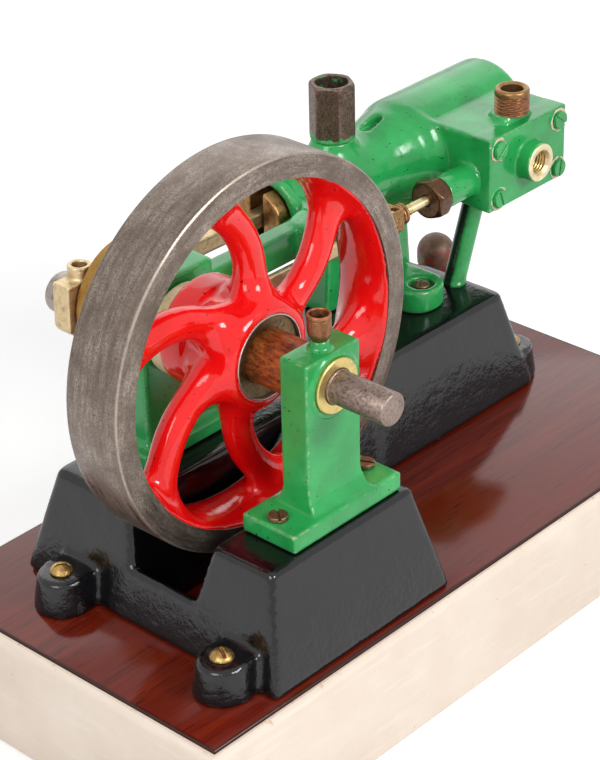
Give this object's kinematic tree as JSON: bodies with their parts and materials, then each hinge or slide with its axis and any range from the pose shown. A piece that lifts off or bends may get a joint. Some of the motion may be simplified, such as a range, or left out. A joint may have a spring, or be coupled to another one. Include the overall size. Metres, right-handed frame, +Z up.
{
  "type": "model horizontal steam engine",
  "caption": "Model horizontal steam engine: overhung crank, trunk-guide frame, slide-valve cylinder, curved-spoke flywheel and outboard bearing on a cast bed and wooden plinth.",
  "frame": {"origin": "centre of the plinth's underside", "axes": "+X from the crank towards the cylinder, +Y from the outboard bearing towards the crank, +Z up"},
  "size_m": [0.2454, 0.126, 0.167],
  "materials": {
    "cream_paint": "old satin cream paint on wood",
    "mahogany": "varnished mahogany",
    "black_enamel": "thick gloss black enamel on a rough casting",
    "green_enamel": "gloss green enamel with chipped edges",
    "red_enamel": "gloss red enamel, machined iron rim",
    "steel": "turned steel, lightly oxidised",
    "rusty_steel": "rusted steel",
    "dark_steel": "dark oxidised steel",
    "bronze": "worn bronze",
    "brass": "dull brass",
    "copper_brown": "brown tarnished metal"
  },
  "bodies": {
    "engine_frame": {"plinth": "cream_paint", "mahogany_board": "mahogany", "bed_casting": "black_enamel", "bed_wood_screws": "brass", "outboard_pedestal": "green_enamel", "outboard_bush": "bronze", "pedestal_screws": "dark_steel", "pedestal_oil_cup": "copper_brown", "frame_casting": "green_enamel", "main_bush": "bronze", "frame_screw": "dark_steel", "hex_oil_cup": "dark_steel", "cylinder": "green_enamel", "cylinder_cover": "green_enamel", "steam_chest": "green_enamel", "chest_cover": "green_enamel", "cover_screws": "green_enamel", "steam_inlet": "copper_brown", "gland_nut": "bronze", "chest_strut": "green_enamel", "drain_pot": "copper_brown"},
    "crankshaft_body": {"flywheel": "red_enamel", "crankshaft": "steel", "shaft_collar": "rusty_steel", "crank_disc": "brass"},
    "connecting_rod_body": {"connecting_rod": "steel", "big_end": "bronze", "crank_pin": "steel"},
    "crosshead_body": {"crosshead": "bronze", "gudgeon_pin": "steel", "piston_rod": "steel"},
    "valve_gear_body": {"valve_rod": "steel", "valve_knuckle": "bronze", "eccentric_rod": "steel", "eccentric_strap": "brass", "eccentric_sheave": "steel"}
  },
  "joints": [
    {"name": "crankshaft_turn", "type": "hinge", "parent": "engine_frame", "child": "crankshaft_body", "pos_m": [-0.0514, -0.0182, 0.1098], "axis": [0, 1, 0], "continuous": true},
    {"name": "crosshead_slide", "type": "slide", "parent": "engine_frame", "child": "crosshead_body", "axis": [1, 0, 0], "range_m": [-0.00012, 0.02528]},
    {"name": "connecting_rod_swing", "type": "hinge", "parent": "crosshead_body", "child": "connecting_rod_body", "pos_m": [0.01802, 0.0421, 0.1098], "axis": [0, 1, 0], "range_deg": [-10.24, 7.58]},
    {"name": "valve_slide", "type": "slide", "parent": "engine_frame", "child": "valve_gear_body", "axis": [1, 0, 0], "range_m": [-0.0024, 0.0024]}
  ]
}
